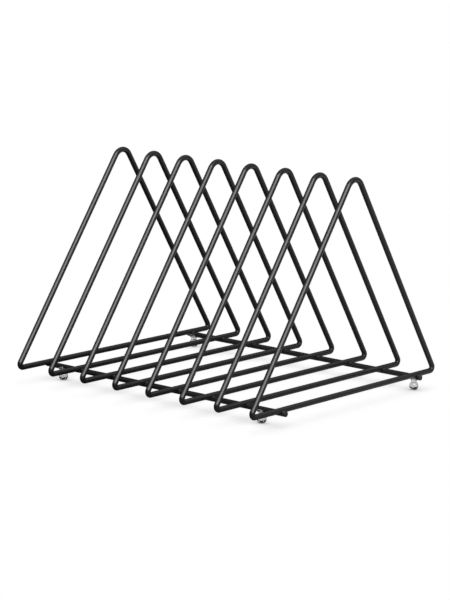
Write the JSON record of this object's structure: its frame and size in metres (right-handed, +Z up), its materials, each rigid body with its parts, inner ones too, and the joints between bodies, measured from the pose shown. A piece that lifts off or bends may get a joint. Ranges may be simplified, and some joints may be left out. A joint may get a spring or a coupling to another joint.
{
  "type": "newspaper rack",
  "caption": "Desktop newspaper and magazine rack: a row of upright bent-wire triangles welded across base rods, open slots between them, on clear clip-on ball feet.",
  "frame": {"origin": "middle of the rack's bounding box on the surface that the feet stand on", "axes": "+X through the row of dividers, square to each one; +Y along the dividers' bottom runs, from the front rod to the rear rod; +Z up"},
  "size_m": [0.254, 0.2488, 0.1882],
  "materials": {
    "black_powder_coat": "satin black powder coat on steel wire",
    "clear_plastic": "clear soft plastic, glossy"
  },
  "bodies": {
    "root": {"divider_1": "black_powder_coat", "divider_2": "black_powder_coat", "divider_3": "black_powder_coat", "divider_4": "black_powder_coat", "divider_5": "black_powder_coat", "divider_6": "black_powder_coat", "divider_7": "black_powder_coat", "divider_8": "black_powder_coat", "front_base_rod": "black_powder_coat", "rear_base_rod": "black_powder_coat", "foot_front_left": "clear_plastic", "foot_front_right": "clear_plastic", "foot_rear_left": "clear_plastic", "foot_rear_right": "clear_plastic"}
  },
  "joints": []
}
